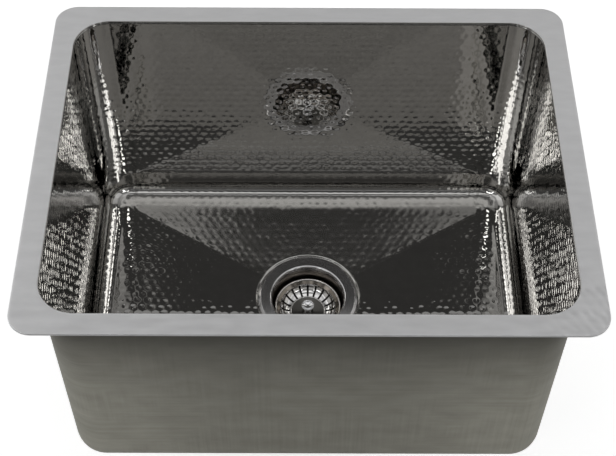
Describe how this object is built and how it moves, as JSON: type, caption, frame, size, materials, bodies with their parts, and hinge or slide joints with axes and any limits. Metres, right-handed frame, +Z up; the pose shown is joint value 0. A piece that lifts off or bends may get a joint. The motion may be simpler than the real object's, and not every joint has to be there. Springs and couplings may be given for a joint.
{
  "type": "undermount kitchen sink",
  "caption": "Undermount stainless steel kitchen sink, one deep rectangular bowl, hammered inside, with a flat rim, a floor creased to the drain and a basket strainer that lifts and turns.",
  "frame": {"origin": "centre of the bowl's open mouth, in the plane of the rim's top face, where the sink meets the underside of the worktop", "axes": "+X along the sink to its right, +Y to its back, +Z up, out of the mouth and square to the rim's top face"},
  "size_m": [0.54, 0.419, 0.4623],
  "materials": {
    "hammered_steel": "hand hammered and polished inside, brushed satin outside",
    "satin_steel": "satin",
    "strainer_steel": "polished",
    "chrome": "bright plated",
    "plated_brass": "nickel plated, satin",
    "zinc": "die cast, dull",
    "rubber": "matt",
    "fibre": "pressed fibre",
    "putty": "soft sealing compound",
    "white_plastic": "moulded"
  },
  "bodies": {
    "root": {"sink_bowl": "hammered_steel", "rim_frame": "satin_steel", "strainer_cup": "strainer_steel", "outlet_cross": "strainer_steel", "outlet_tube": "plated_brass", "putty_ring": "putty", "rubber_washer": "rubber", "fibre_ring": "fibre", "locknut": "zinc", "tail_washer": "white_plastic", "tailpiece": "chrome", "coupling_nut": "chrome"},
    "stopper": {"stopper_seal": "rubber", "stopper_plate": "strainer_steel", "stopper_washer": "strainer_steel"},
    "strainer_basket": {"basket": "strainer_steel", "basket_knob": "chrome", "basket_post": "strainer_steel", "post_nut": "plated_brass", "post_clip": "strainer_steel"}
  },
  "joints": [
    {"name": "basket_lift", "type": "slide", "parent": "root", "child": "stopper", "axis": [0, 0, 1], "range_m": [0, 0.062]},
    {"name": "basket_turn", "type": "hinge", "parent": "stopper", "child": "strainer_basket", "pos_m": [0, 0.027, -0.3258], "axis": [0, 0, 1], "continuous": true}
  ]
}
